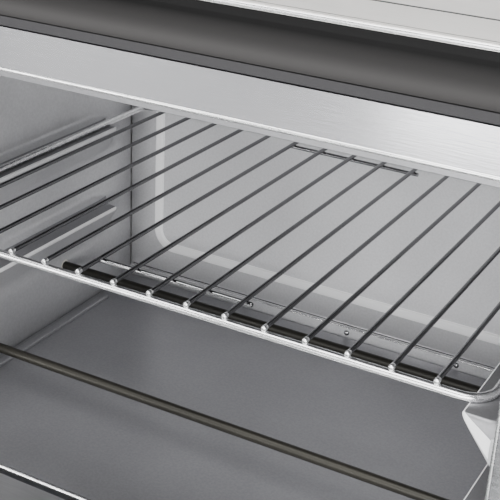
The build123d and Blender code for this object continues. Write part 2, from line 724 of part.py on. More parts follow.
with BuildPart() as terminal_block:
    slab(BLOCK_X - 18, BLOCK_X + 18, BLOCK_Y - 8, BLOCK_Y + 8, BASE_TOP, BASE_TOP + 14)
    with BuildSketch(Plane.XY.offset(BASE_TOP + 14)):
        with Locations((BLOCK_X, BLOCK_Y)):
            with GridLocations(12.0, 1.0, 3, 1):
                Circle(2.6)
    extrude(amount=-6.0, mode=Mode.SUBTRACT)
save(terminal_block.part, "terminal_block")

with BuildPart() as terminal_screws:
    with BuildSketch(Plane.XY.offset(BASE_TOP + 8)):
        with Locations((BLOCK_X, BLOCK_Y)):
            with GridLocations(12.0, 1.0, 3, 1):
                Circle(2.5)
    extrude(amount=4.0)
save(terminal_screws.part, "terminal_screws")

# ---------------------------------------------------------------- heating elements

ELEMENT_END = CAVITY_W / 2 + 11.0
BUSH_FLANGE_D = 15.0


def element(y, z):
    """One straight sheathed element, running from side to side through both walls."""
    with BuildPart() as rod:
        with BuildSketch(side_plane(CAVITY_X - ELEMENT_END)):
            with Locations((y, z)):
                Circle(ELEMENT_D / 2)
        extrude(amount=2 * ELEMENT_END)
    return rod.part


for level, element_z in (("lower", LOWER_ELEMENT_Z), ("upper", UPPER_ELEMENT_Z)):
    for place, element_y in zip(("front", "rear"), ELEMENT_YS):
        save(element(element_y, element_z), f"{level}_{place}_element")

with BuildPart() as element_bushes:
    for wall_x, outward in ((WALL_LEFT, -1), (WALL_RIGHT, 1)):
        face_x = wall_x + outward * SHEET
        with BuildSketch(side_plane(face_x)):
            with Locations(*ELEMENT_SPOTS):
                Circle(BUSH_FLANGE_D / 2)
        extrude(amount=outward * 5.0)
        with BuildSketch(side_plane(face_x)):
            with Locations(*ELEMENT_SPOTS):
                Circle(BUSH_D / 2)
        extrude(amount=-outward * SHEET)
    with BuildSketch(side_plane(CAVITY_X - ELEMENT_END)):
        with Locations(*ELEMENT_SPOTS):
            Circle(ELEMENT_D / 2)
    extrude(amount=2 * ELEMENT_END, mode=Mode.SUBTRACT)
save(element_bushes.part, "element_bushes")

TERMINAL_L = 3.4
TERMINAL_W = 6.4
TERMINAL_T = 0.8

with BuildPart() as element_terminals:
    for side in (-1, 1):
        middle_x = CAVITY_X + side * (ELEMENT_END + TERMINAL_L / 2)
        with Locations(*[(middle_x, y, z) for y, z in ELEMENT_SPOTS]):
            Box(TERMINAL_L, TERMINAL_W, TERMINAL_T)
save(element_terminals.part, "element_terminals")

# ---------------------------------------------------------------- rack

with BuildPart() as rack_frame:
    with BuildLine() as frame_line:
        FilletPolyline(
            (RACK_X + RACK_W / 2, RACK_Y, FRAME_WIRE_Z),
            (RACK_X + RACK_W / 2, RACK_Y + RACK_D, FRAME_WIRE_Z),
            (RACK_X - RACK_W / 2, RACK_Y + RACK_D, FRAME_WIRE_Z),
            (RACK_X - RACK_W / 2, RACK_Y, FRAME_WIRE_Z),
            radius=12.0,
            close=True,
        )
    with BuildSketch(Plane(frame_line.line @ 0, z_dir=frame_line.line % 0)):
        Circle(FRAME_WIRE_D / 2)
    sweep()
save(rack_frame.part, "rack_frame")

ROD_OVERHANG = 1.2

with BuildPart() as rack_rods:
    with BuildSketch(front_plane(RACK_Y + RACK_D + ROD_OVERHANG)):
        with Locations((RACK_X, RACK_Z)):
            with GridLocations(ROD_PITCH, 1.0, ROD_COUNT, 1):
                Circle(ROD_D / 2)
    extrude(amount=RACK_D + 2 * ROD_OVERHANG)
    fillet(rack_rods.edges().filter_by(GeomType.CIRCLE), 0.5)
save(rack_rods.part, "rack_rods")

with BuildPart() as rack_cross_wires:
    wire_z = RACK_Z - ROD_D
    for y in (RACK_Y + SHORT_WIRE_INSETS[0], RACK_Y + RACK_D - SHORT_WIRE_INSETS[1]):
        with BuildSketch(side_plane(RACK_X - SHORT_WIRE_W / 2)):
            with Locations((y, wire_z)):
                Circle(ROD_D / 2)
        extrude(amount=SHORT_WIRE_W)
    fillet(rack_cross_wires.edges().filter_by(GeomType.CIRCLE), 0.5)
save(rack_cross_wires.part, "rack_cross_wires")

# ---------------------------------------------------------------- crumb tray

TRAY_T = 0.8
TRAY_GAP = 0.8
TRAY_HEM_W = 5.0
TRAY_HEM_H = 2.4
TRAY_HEM_X = 6.0
TRAY_HEM_L = 217.0

with BuildPart() as crumb_tray:
    tray_left = WALL_LEFT + TRAY_GAP
    tray_right = WALL_RIGHT - TRAY_GAP
    tray_front = FRONT_Y - 1.6
    tray_rear = BACK_Y - SKIRT_OUT - 1.0
    slab(tray_left, tray_right, tray_front, tray_rear, FLOOR_Z - TRAY_T, FLOOR_Z)
    slab(tray_left + 6, tray_right - 6, tray_front, tray_front + 1.0, BASE_TOP + 1, FLOOR_Z + 3.5)
    hem_start = FRONT_Y + 2.0
    for x in (WALL_LEFT + TRAY_HEM_X, WALL_RIGHT - TRAY_HEM_X - TRAY_HEM_W):
        slab(x, x + TRAY_HEM_W, hem_start, hem_start + TRAY_HEM_L, FLOOR_Z, FLOOR_Z + TRAY_HEM_H)
    hem_tops = crumb_tray.edges().filter_by(Axis.Y).filter_by(
        lambda edge: abs(edge.center().Z - FLOOR_Z - TRAY_HEM_H) < 0.1
    )
    fillet(hem_tops, 1.1)
save(crumb_tray.part, "crumb_tray")

with BuildPart() as crumb_tray_handle:
    with BuildSketch(side_plane(CAVITY_X - 60.0)):
        with BuildLine():
            Polyline(
                (tray_front, 34.0),
                (tray_front - 9.0, 32.5),
                (tray_front - 9.0, 27.0),
                (tray_front - 7.0, 27.0),
                (tray_front - 7.0, 30.5),
                (tray_front, 31.5),
                close=True,
            )
        make_face()
    extrude(amount=120.0)
save(crumb_tray_handle.part, "crumb_tray_handle")

# ---------------------------------------------------------------- door and hinges

WINDOW_SIDE = 30.0
WINDOW_LOW = 24.0  # hinge axis to the window's lower edge
WINDOW_HIGH = 192.0
WINDOW_R = 8.0
GLASS_T = 4.0
GLASS_LAP = 9.0
HALF_T = DOOR_T / 2
PIN_BLOCK = 11.0
PIN_IN_DOOR = 12.0
HANDLE_H = 216.0
HANDLE_POST_X = 125.0
HANDLE_W = HALF_T + HANDLE_STAND
POST_D = 9.0
window_mid = (WINDOW_LOW + WINDOW_HIGH) / 2
window_w = DOOR_W - 2 * WINDOW_SIDE
window_h = WINDOW_HIGH - WINDOW_LOW
door_mid = DOOR_TOP - DOOR_H / 2
HANDLE_POSTS = [(DOOR_X - HANDLE_POST_X, HANDLE_H), (DOOR_X + HANDLE_POST_X, HANDLE_H)]

with BuildPart() as door_frame:
    with BuildSketch(door_plane(-HALF_T + SHEET)):
        with Locations((DOOR_X, door_mid)):
            RectangleRounded(DOOR_W, DOOR_H, 5.0)
    extrude(amount=DOOR_T - SHEET)
    fillet(door_frame.faces().sort_by(Axis.Z)[0].edges(), 2.0)
    with BuildSketch(door_plane(-HALF_T + SHEET)):
        with Locations((DOOR_X, door_mid)):
            RectangleRounded(DOOR_W - 2 * DOOR_SKIN, DOOR_H - 2 * DOOR_SKIN, 3.5)
    extrude(amount=DOOR_T - SHEET - DOOR_SKIN, mode=Mode.SUBTRACT)
    with BuildSketch(door_plane(HALF_T)):
        with Locations((DOOR_X, window_mid)):
            RectangleRounded(window_w, window_h, WINDOW_R)
    extrude(amount=-DOOR_T, mode=Mode.SUBTRACT)
    # solid blocks in the lower corners take the hinge pins
    for x in (DOOR_LEFT + 1.0, DOOR_RIGHT - 1.0 - PIN_IN_DOOR - 2.0):
        slab(
            x,
            x + PIN_IN_DOOR + 2.0,
            HINGE_Y - PIN_BLOCK / 2,
            HINGE_Y + PIN_BLOCK / 2,
            HINGE_Z - HALF_T + 1.0,
            HINGE_Z + HALF_T - SHEET,
        )
    with BuildSketch(side_plane(DOOR_LEFT)):
        with Locations((HINGE_Y, HINGE_Z)):
            Circle(PIN_D / 2)
    extrude(amount=PIN_IN_DOOR, mode=Mode.SUBTRACT)
    with BuildSketch(side_plane(DOOR_RIGHT)):
        with Locations((HINGE_Y, HINGE_Z)):
            Circle(PIN_D / 2)
    extrude(amount=-PIN_IN_DOOR, mode=Mode.SUBTRACT)
    with BuildSketch(door_plane(HALF_T + 1)):
        with Locations(*HANDLE_POSTS):
            Circle(2.1)
    extrude(amount=-4, mode=Mode.SUBTRACT)
save(door_frame.part, "door_frame")

GLASS_OUT = HALF_T - DOOR_SKIN

with BuildPart() as door_glass:
    with BuildSketch(door_plane(GLASS_OUT)):
        with Locations((DOOR_X, window_mid)):
            RectangleRounded(window_w + 2 * GLASS_LAP, window_h + 2 * GLASS_LAP, 4.0)
    extrude(amount=-GLASS_T)
save(door_glass.part, "door_glass")

RETAINER_T = 1.2
RETAINER_SCREWS = [
    (DOOR_X + side * (window_w / 2 + 12.0), window_mid + step * (window_h / 2 - 20.0))
    for side in (-1, 1)
    for step in (-1, 1)
]

with BuildPart() as glass_retainer:
    with BuildSketch(door_plane(GLASS_OUT - GLASS_T)):
        with Locations((DOOR_X, window_mid)):
            RectangleRounded(window_w + 40.0, window_h + 2 * GLASS_LAP + 10.0, 4.0)
            RectangleRounded(window_w, window_h, WINDOW_R, mode=Mode.SUBTRACT)
        with Locations(*RETAINER_SCREWS):
            Circle(1.6, mode=Mode.SUBTRACT)
    extrude(amount=-RETAINER_T)
save(glass_retainer.part, "glass_retainer")

with BuildPart() as retainer_screws:
    with BuildSketch(door_plane(GLASS_OUT - GLASS_T - RETAINER_T)):
        with Locations(*RETAINER_SCREWS):
            Circle(3.0)
    extrude(amount=-1.6)
    with BuildSketch(door_plane(GLASS_OUT - GLASS_T - RETAINER_T)):
        with Locations(*RETAINER_SCREWS):
            Circle(1.5)
    extrude(amount=RETAINER_T + GLASS_T)
save(retainer_screws.part, "retainer_screws")

with BuildPart() as door_inner_panel:
    with BuildSketch(door_plane(-HALF_T)):
        with Locations((DOOR_X, door_mid)):
            RectangleRounded(DOOR_W, DOOR_H, 5.0)
        with Locations((DOOR_X, window_mid)):
            RectangleRounded(window_w, window_h, WINDOW_R, mode=Mode.SUBTRACT)
    extrude(amount=SHEET)
    # its window edge is turned in as far as the retainer
    with BuildSketch(door_plane(-HALF_T)):
        with Locations((DOOR_X, window_mid)):
            RectangleRounded(window_w + 2 * SHEET, window_h + 2 * SHEET, WINDOW_R + SHEET)
            RectangleRounded(window_w, window_h, WINDOW_R, mode=Mode.SUBTRACT)
    extrude(amount=GLASS_OUT - GLASS_T - RETAINER_T + HALF_T)
save(door_inner_panel.part, "door_inner_panel")

with BuildPart() as door_handle:
    with BuildSketch(side_plane(DOOR_X - HANDLE_L / 2)):
        with Locations((HINGE_Y - HANDLE_H, HINGE_Z - HANDLE_W)):
            Circle(HANDLE_D / 2)
    extrude(amount=HANDLE_L)
    fillet(door_handle.edges().filter_by(GeomType.CIRCLE), 3.0)
save(door_handle.part, "door_handle")

with BuildPart() as handle_posts:
    with BuildSketch(door_plane(HALF_T)):
        with Locations(*HANDLE_POSTS):
            Circle(POST_D / 2)
    extrude(amount=HANDLE_STAND)
    # the outer ends are hollowed to sit on the bar
    with BuildSketch(side_plane(DOOR_X - HANDLE_L / 2)):
        with Locations((HINGE_Y - HANDLE_H, HINGE_Z - HANDLE_W)):
            Circle(HANDLE_D / 2)
    extrude(amount=HANDLE_L, mode=Mode.SUBTRACT)
    with BuildSketch(door_plane(HALF_T)):
        with Locations(*HANDLE_POSTS):
            Circle(2.0)
    extrude(amount=12.0, mode=Mode.SUBTRACT)
save(handle_posts.part, "handle_posts")

with BuildPart() as handle_screws:
    with BuildSketch(door_plane(GLASS_OUT)):
        with Locations(*HANDLE_POSTS):
            Circle(4.0)
    extrude(amount=-2.4)
    with BuildSketch(door_plane(GLASS_OUT)):
        with Locations(*HANDLE_POSTS):
            Circle(2.0)
    extrude(amount=DOOR_SKIN + 12.0)
save(handle_screws.part, "handle_screws")

BRACKET_T = 2.5
BRACKET_XS = ((LEFT_X, LEFT_X + BRACKET_T), (DOOR_RIGHT + 0.5, DOOR_RIGHT + 0.5 + BRACKET_T))

with BuildPart() as hinge_brackets:
    for x0, x1 in BRACKET_XS:
        with BuildSketch(side_plane(x0)):
            panel(HINGE_Y, FRONT_Y, HINGE_Z - 7.0, HINGE_Z + 7.0)
            with Locations((HINGE_Y, HINGE_Z)):
                Circle(7.0)
            with Locations((HINGE_Y, HINGE_Z)):
                Circle(PIN_D / 2 + RUNNING, mode=Mode.SUBTRACT)
        extrude(amount=BRACKET_T)
save(hinge_brackets.part, "hinge_brackets")

with BuildPart() as hinge_pins:
    with BuildSketch(side_plane(LEFT_X)):
        with Locations((HINGE_Y, HINGE_Z)):
            Circle(PIN_D / 2)
    extrude(amount=DOOR_LEFT + PIN_IN_DOOR - LEFT_X)
    with BuildSketch(side_plane(DOOR_RIGHT + 0.5 + BRACKET_T)):
        with Locations((HINGE_Y, HINGE_Z)):
            Circle(PIN_D / 2)
    extrude(amount=-(0.5 + BRACKET_T + PIN_IN_DOOR))
save(hinge_pins.part, "hinge_pins")
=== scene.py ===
"""The looks of the toaster oven: camera, light, materials and detailed pieces round the CAD frame."""

import math

import bmesh
import bpy
from mathutils import Matrix, Vector
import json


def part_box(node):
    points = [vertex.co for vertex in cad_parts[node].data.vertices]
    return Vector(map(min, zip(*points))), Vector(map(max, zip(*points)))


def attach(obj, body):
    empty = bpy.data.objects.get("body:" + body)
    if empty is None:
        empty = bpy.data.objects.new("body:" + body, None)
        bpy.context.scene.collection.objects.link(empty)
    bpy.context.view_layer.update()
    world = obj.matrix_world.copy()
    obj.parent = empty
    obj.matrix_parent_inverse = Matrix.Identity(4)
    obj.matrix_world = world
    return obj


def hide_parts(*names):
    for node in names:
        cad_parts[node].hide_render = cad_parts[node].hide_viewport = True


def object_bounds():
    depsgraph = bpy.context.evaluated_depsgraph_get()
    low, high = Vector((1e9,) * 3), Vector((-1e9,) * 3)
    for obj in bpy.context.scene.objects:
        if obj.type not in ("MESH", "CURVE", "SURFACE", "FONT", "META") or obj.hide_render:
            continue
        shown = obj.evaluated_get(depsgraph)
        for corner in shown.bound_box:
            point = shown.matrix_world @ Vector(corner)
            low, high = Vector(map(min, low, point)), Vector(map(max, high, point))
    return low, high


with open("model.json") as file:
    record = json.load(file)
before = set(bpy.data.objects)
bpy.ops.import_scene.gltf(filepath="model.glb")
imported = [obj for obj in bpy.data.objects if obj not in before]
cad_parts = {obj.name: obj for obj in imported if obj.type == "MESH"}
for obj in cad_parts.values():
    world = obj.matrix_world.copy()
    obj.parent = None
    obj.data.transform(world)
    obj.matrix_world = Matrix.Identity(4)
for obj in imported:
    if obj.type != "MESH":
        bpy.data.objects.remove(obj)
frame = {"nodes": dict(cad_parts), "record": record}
cad_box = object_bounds()
nodes = frame["nodes"]
MM = 0.001

# ---------------------------------------------------------------- places, read from the frame

rods_low, rods_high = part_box("rack_rods")
wire_low, wire_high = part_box("rack_frame")
WIRE_R = (wire_high.z - wire_low.z) / 2
RACK = Vector(((rods_low.x + rods_high.x) / 2, wire_low.y + WIRE_R, (rods_low.z + rods_high.z) / 2))
FRONT_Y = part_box("front_frame")[0].y
BACK_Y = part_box("back_wall_rivets")[1].y
LEDGE_Z = wire_low.z

# ---------------------------------------------------------------- camera

CAMERA_FROM_RACK = Vector((263.4, -401.0, 242.2)) * MM
CAMERA_YAW = math.radians(27.91)
CAMERA_PITCH = math.radians(24.53)
CAMERA_ROLL = math.radians(2.94)
CAMERA_LENS = 84.27


def make_camera():
    """A camera over the right-hand front of the open oven, looking down into its far left corner."""
    forward = Vector(
        (
            -math.sin(CAMERA_YAW) * math.cos(CAMERA_PITCH),
            math.cos(CAMERA_YAW) * math.cos(CAMERA_PITCH),
            -math.sin(CAMERA_PITCH),
        )
    )
    level = Vector((math.cos(CAMERA_YAW), math.sin(CAMERA_YAW), 0))
    upright = level.cross(forward)
    right = level * math.cos(CAMERA_ROLL) + upright * math.sin(CAMERA_ROLL)
    up = upright * math.cos(CAMERA_ROLL) - level * math.sin(CAMERA_ROLL)
    data = bpy.data.cameras.new("camera")
    data.lens = CAMERA_LENS
    data.sensor_width = 36.0
    data.clip_start = 0.01
    camera = bpy.data.objects.new("camera", data)
    turn = Matrix((right, up, -forward)).transposed().to_4x4()
    camera.matrix_world = Matrix.Translation(RACK + CAMERA_FROM_RACK) @ turn
    bpy.context.collection.objects.link(camera)
    bpy.context.scene.camera = camera


make_camera()

# ---------------------------------------------------------------- materials


def material(name, colour, metallic=0.0, roughness=0.5):
    """A material whose uniform values sit on the shader itself."""
    made = bpy.data.materials.new(name)
    made.use_nodes = True
    shader = made.node_tree.nodes["Principled BSDF"]
    shader.inputs["Base Color"].default_value = (*colour, 1)
    shader.inputs["Metallic"].default_value = metallic
    shader.inputs["Roughness"].default_value = roughness
    return made


def noise(made, scale, detail=3.0, stretch=(1, 1, 1)):
    """A noise texture in object space, with its scale per metre, stretched along the axes."""
    tree = made.node_tree
    place = tree.nodes.new("ShaderNodeTexCoord")
    mapping = tree.nodes.new("ShaderNodeMapping")
    mapping.inputs["Scale"].default_value = stretch
    texture = tree.nodes.new("ShaderNodeTexNoise")
    texture.inputs["Scale"].default_value = scale
    texture.inputs["Detail"].default_value = detail
    tree.links.new(place.outputs["Object"], mapping.inputs["Vector"])
    tree.links.new(mapping.outputs["Vector"], texture.inputs["Vector"])
    return texture.outputs["Fac"]


def ramp(made, value, stops):
    """A colour ramp over a value; stops are (position, (r, g, b))."""
    node = made.node_tree.nodes.new("ShaderNodeValToRGB")
    made.node_tree.links.new(value, node.inputs["Fac"])
    elements = node.color_ramp.elements
    while len(elements) < len(stops):
        elements.new(0.5)
    for element, (position, colour) in zip(elements, stops):
        element.position = position
        element.color = (*colour, 1)
    return node.outputs["Color"]


def multiply(made, first, second):
    """Two colours multiplied."""
    node = made.node_tree.nodes.new("ShaderNodeMix")
    node.data_type = "RGBA"
    node.blend_type = "MULTIPLY"
    node.inputs["Factor"].default_value = 1.0
    made.node_tree.links.new(first, node.inputs["A"])
    made.node_tree.links.new(second, node.inputs["B"])
    return node.outputs["Result"]


def grey(value):
    """A neutral colour."""
    return (value, value, value)


def shade(colour, factor):
    """A colour made lighter or darker."""
    return tuple(min(1.0, channel * factor) for channel in colour)


def set_input(made, socket, output):
    """Drive one of the shader's inputs from a node's output."""
    made.node_tree.links.new(output, made.node_tree.nodes["Principled BSDF"].inputs[socket])


def bump(made, height, distance):
    """Bump from a height value, in metres, on top of any bump the material already has."""
    normal = made.node_tree.nodes["Principled BSDF"].inputs["Normal"]
    node = made.node_tree.nodes.new("ShaderNodeBump")
    node.inputs["Distance"].default_value = distance
    made.node_tree.links.new(height, node.inputs["Height"])
    if normal.is_linked:
        made.node_tree.links.new(normal.links[0].from_socket, node.inputs["Normal"])
    made.node_tree.links.new(node.outputs["Normal"], normal)


def vary_roughness(made, value, middle, spread):
    """Roughness that wanders a little round its middle value."""
    stops = ((0.3, grey(middle - spread)), (0.7, grey(middle + spread)))
    set_input(made, "Roughness", ramp(made, value, stops))


def brushed(name, colour, roughness, along, metallic=1.0, mottled=0.05, waves=0.0012):
    """Steel with fine grain drawn along one axis, a faint mottle and slight waves in the sheet."""
    made = material(name, colour, metallic, roughness)
    stretch = [1.0 if axis == along else 30.0 for axis in "XYZ"]
    grain = noise(made, 60.0, 3.0, stretch)
    stops = ((0.3, shade(colour, 1 - mottled)), (0.7, shade(colour, 1 + mottled)))
    set_input(made, "Base Color", ramp(made, grain, stops))
    vary_roughness(made, grain, roughness, 0.04)
    if waves:
        bump(made, noise(made, 9.0, 1.0), waves)
    bump(made, grain, 0.00002)
    return made


def aluminised(name, colour, roughness, metallic, cloud=0.05, sparkle=0.07):
    """Coated sheet: a fine speckle in tone, soft clouds, and slight waves in the sheet."""
    made = material(name, colour, metallic, roughness)
    speckle = noise(made, 700.0, 4.0)
    clouds = noise(made, 11.0, 3.0)
    fine = ramp(made, speckle, ((0.36, grey(1 - sparkle)), (0.64, grey(1.0))))
    broad = ramp(made, clouds, ((0.3, shade(colour, 1 - cloud)), (0.7, shade(colour, 1 + cloud))))
    set_input(made, "Base Color", multiply(made, broad, fine))
    vary_roughness(made, noise(made, 23.0, 4.0), roughness, 0.04)
    bump(made, noise(made, 8.0, 1.0), 0.0015)
    bump(made, speckle, 0.00002)
    return made


def plastic(name, colour, roughness, grain=0.00003, sheen=0.5):
    """Moulded plastic with a fine texture."""
    made = material(name, colour, roughness=roughness)
    made.node_tree.nodes["Principled BSDF"].inputs["Specular IOR Level"].default_value = sheen
    texture = noise(made, 1500.0, 2.0)
    vary_roughness(made, noise(made, 40.0, 3.0), roughness, 0.01)
    set_input(made, "Base Color", ramp(made, texture, ((0.3, shade(colour, 0.93)), (0.7, colour))))
    bump(made, texture, grain)
    return made


def graded(name, low_colour, high_colour, roughness):
    """Satin plastic whose tone changes evenly from its lower edge to its upper edge."""
    made = plastic(name, high_colour, roughness, 0.00001, 0.15)
    tree = made.node_tree
    place = tree.nodes.new("ShaderNodeTexCoord")
    split = tree.nodes.new("ShaderNodeSeparateXYZ")
    tree.links.new(place.outputs["Generated"], split.inputs["Vector"])
    stops = ((0.1, low_colour), (0.55, high_colour))
    set_input(made, "Base Color", ramp(made, split.outputs["Z"], stops))
    return made


def glass(name, colour, roughness=0.02):
    """Clear glass with a faint tint."""
    made = material(name, colour, roughness=roughness)
    shader = made.node_tree.nodes["Principled BSDF"]
    shader.inputs["Transmission Weight"].default_value = 1.0
    shader.inputs["IOR"].default_value = 1.5
    vary_roughness(made, noise(made, 30.0, 3.0), roughness + 0.01, 0.01)
    return made


FINISHES = {
    "cover_steel": brushed("cover_steel", (0.74, 0.72, 0.69), 0.34, "X"),
    "galvanised_steel": aluminised("galvanised_steel", (0.6, 0.61, 0.62), 0.45, 0.9, 0.12),
    "cavity_steel": aluminised("cavity_steel", (0.63, 0.63, 0.645), 0.4, 0.3, 0.07, 0.1),
    "frame_steel": brushed("frame_steel", (0.45, 0.45, 0.465), 0.2, "X", 0.95, 0.03),
    "trim_grey": plastic("trim_grey", (0.045, 0.044, 0.046), 0.7, sheen=0.2),
    "gloss_black": plastic("gloss_black", (0.02, 0.02, 0.021), 0.3, 0.00001),
    "knob_black": plastic("knob_black", (0.03, 0.03, 0.03), 0.4),
    "fastener_steel": brushed("fastener_steel", (0.6, 0.6, 0.6), 0.3, "X"),
    "bell_steel": brushed("bell_steel", (0.7, 0.7, 0.7), 0.2, "X"),
    "control_plastic": plastic("control_plastic", (0.25, 0.2, 0.15), 0.6),
    "lamp_red": plastic("lamp_red", (0.6, 0.03, 0.02), 0.12, 0.0),
    "lamp_glass": glass("lamp_glass", (0.9, 0.85, 0.8)),
    "element_sheath": aluminised("element_sheath", (0.034, 0.032, 0.026), 0.42, 0.6, 0.25),
    "white_ceramic": plastic("white_ceramic", (0.8, 0.78, 0.72), 0.5),
    # painted shade: the rack's chrome made dark, as on its rods
    "rack_chrome": brushed("rack_chrome", (0.14, 0.14, 0.145), 0.16, "Y", 1.0, 0.04, 0.0),
    "tray_steel": aluminised("tray_steel", (0.33, 0.33, 0.345), 0.35, 0.6, 0.1, 0.1),
    "handle_steel": brushed("handle_steel", (0.72, 0.72, 0.72), 0.28, "X"),
    "door_steel": brushed("door_steel", (0.7, 0.7, 0.7), 0.34, "X"),
    "door_glass": glass("door_glass", (0.8, 0.85, 0.83)),
    "foot_rubber": plastic("foot_rubber", (0.02, 0.02, 0.02), 0.8),
    "black_plastic": plastic("black_plastic", (0.02, 0.02, 0.02), 0.5),
}
# painted highlight: a pale, barely metallic copy of the cavity steel, for the back wall's rib and the
# guides' edges
PAINTED_HIGHLIGHT_SHEET = brushed("painted_highlight_sheet", (0.97, 0.97, 0.98), 0.45, "X", 0.1, 0.03)
# polished steel painted bright as a highlight, for rolled edges and the rods' tips
POLISH_AND_HIGHLIGHT = brushed("polish_and_painted_highlight", (0.97, 0.97, 0.97), 0.26, "X", 1.0, 0.02, 0.0)
# chrome painted bright as a highlight, for the rack's frame wire and the skirt's beads
CHROME_PAINTED_HIGHLIGHT = brushed("chrome_painted_highlight", (0.8, 0.8, 0.805), 0.26, "X", 1.0, 0.02, 0.0)
# a dark copy of the chrome: painted shade on the rack's cross wires and in the skirt's creases; the
# skirt's rivets take it too
DARK_CHROME = brushed("dark_chrome", (0.28, 0.28, 0.285), 0.14, "X", 1.0, 0.02, 0.0)
# painted shade: the lower rear element's sheath made darker than the front one's
PAINTED_SHADE_SHEATH = aluminised("painted_shade_sheath", (0.014, 0.013, 0.01), 0.5, 0.5, 0.25)
# painted shade: the bezel's cove darker towards its top
SHADED_COVE = graded("shaded_cove", (0.09, 0.087, 0.086), (0.004, 0.004, 0.004), 0.6)
# painted shadow in the cover's grooves
PAINTED_GROOVE_SHADOW = plastic("painted_groove_shadow", (0.03, 0.03, 0.03), 0.7)
# painted shade: a darker copy of the cavity steel, for the guides' shelves and the cavity ceiling
PAINTED_SHADE_STEEL = aluminised("painted_shade_steel", (0.30, 0.30, 0.31), 0.42, 0.8)
WHITE_PRINT = plastic("white_print", (0.8, 0.8, 0.78), 0.5)

for part in frame["record"]["subparts"]:
    for holder in nodes[part["node"]].material_slots:
        holder.material = FINISHES[part["material_slot"]]
# lit and shaded copies: the rack's frame wire painted bright as a highlight; its cross wires, the bezel's
# cove, the cavity ceiling and the lower rear element painted dark as shade
SPECIAL = {
    "rack_frame": CHROME_PAINTED_HIGHLIGHT,
    "rack_cross_wires": DARK_CHROME,
    "front_bezel": SHADED_COVE,
    "cavity_ceiling": PAINTED_SHADE_STEEL,
    "lower_rear_element": PAINTED_SHADE_SHEATH,
}
for node, finish in SPECIAL.items():
    for holder in nodes[node].material_slots:
        holder.material = finish

# ---------------------------------------------------------------- light and floor

SURROUND_STRENGTH = 0.26
FLOOR_REACH = 6.0
LAMPS = (  # name, place, target, width and height, power in watts
    ("key", (0.12, -1.05, 0.3), (0.1, 0, 0.16), (0.7, 0.45), 9.3),
    ("fill", (0.6, -1.2, 0.3), (-0.1, 0, 0.16), (0.4, 0.4), 6.5),
    ("top", (-0.25, -0.8, 1.4), (0, 0, 0.2), (1.4, 0.5), 24),
    ("glow", (0.0, -0.75, 0.07), (0.08, 0, 0.27), (0.4, 0.08), 0.9),
    ("side", (-0.85, -1.1, 0.34), (0.05, 0.2, 0.15), (0.3, 0.4), 6.5),
    ("rear", (-0.5, 1.3, 1.2), (0, 0, 0.3), (1.0, 0.6), 9),
)


def area_light(name, place, target, size, power):
    """A soft rectangular lamp at a place, turned to a target."""
    data = bpy.data.lights.new(name, "AREA")
    data.shape = "RECTANGLE"
    data.size, data.size_y = size
    data.energy = power
    lamp = bpy.data.objects.new(name, data)
    lamp.location = place
    lamp.rotation_euler = (Vector(target) - Vector(place)).to_track_quat("-Z", "Y").to_euler()
    lamp.visible_camera = False
    bpy.context.collection.objects.link(lamp)


def make_light():
    """Soft studio light: a pale surround, low lamps in front, a long one overhead and one behind."""
    world = bpy.data.worlds.new("surround")
    world.use_nodes = True
    background = world.node_tree.nodes["Background"]
    background.inputs["Color"].default_value = (0.93, 0.94, 0.96, 1)
    background.inputs["Strength"].default_value = SURROUND_STRENGTH
    bpy.context.scene.world = world
    for lamp in LAMPS:
        area_light(*lamp)


def make_floor():
    """A plain pale floor under the feet."""
    mesh = bpy.data.meshes.new("floor")
    z = cad_box[0][2] - 0.5 * MM
    signs = ((-1, -1), (1, -1), (1, 1), (-1, 1))
    corners = [(x * FLOOR_REACH, y * FLOOR_REACH, z) for x, y in signs]
    mesh.from_pydata(corners, [], [(0, 1, 2, 3)])
    floor = bpy.data.objects.new("floor", mesh)
    bpy.context.collection.objects.link(floor)
    floor.data.materials.append(plastic("floor_paint", (0.6, 0.6, 0.6), 0.8))


make_light()
make_floor()

# ---------------------------------------------------------------- mesh tools


def finish_piece(name, shape, slot, body, replaced=(), materials=None, smooth=35.0):
    """Turn a bmesh into a piece that rides on a body and takes its finish from a slot."""
    bmesh.ops.remove_doubles(shape, verts=shape.verts, dist=0.000005)
    bmesh.ops.recalc_face_normals(shape, faces=shape.faces)
    mesh = bpy.data.meshes.new(name)
    shape.to_mesh(mesh)
    shape.free()
    for finish in materials or [FINISHES[slot]]:
        mesh.materials.append(finish)
    mesh.polygons.foreach_set("use_smooth", [True] * len(mesh.polygons))
    mesh.set_sharp_from_angle(angle=math.radians(smooth))
    piece = bpy.data.objects.new(name, mesh)
    bpy.context.collection.objects.link(piece)
    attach(piece, body)
    if replaced:
        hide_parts(*replaced)
    return piece


def rounded(points, radii, steps=5):
    """A polyline whose inner corners are turned into smooth bends, one radius for each corner."""
    line = [Vector(points[0])]
    for before, corner, after, radius in zip(points, points[1:], points[2:], radii):
        corner = Vector(corner)
        towards = (Vector(before) - corner).normalized()
        onwards = (Vector(after) - corner).normalized()
        start = corner + towards * radius
        end = corner + onwards * radius
        for step in range(steps + 1):
            t = step / steps
            line.append(start * (1 - t) ** 2 + corner * 2 * t * (1 - t) + end * t**2)
    line.append(Vector(points[-1]))
    return line


def skin(shape, rows, closed=False, finish_of=None):
    """Quads between rows of points; each row closes on itself where closed is set."""
    grid = [[shape.verts.new(point) for point in row] for row in rows]
    count = len(rows[0])
    for number, (low, high) in enumerate(zip(grid, grid[1:])):
        for i in range(count if closed else count - 1):
            j = (i + 1) % count
            face = shape.faces.new((low[i], low[j], high[j], high[i]))
            if finish_of:
                face.material_index = finish_of(number, i)
    return grid


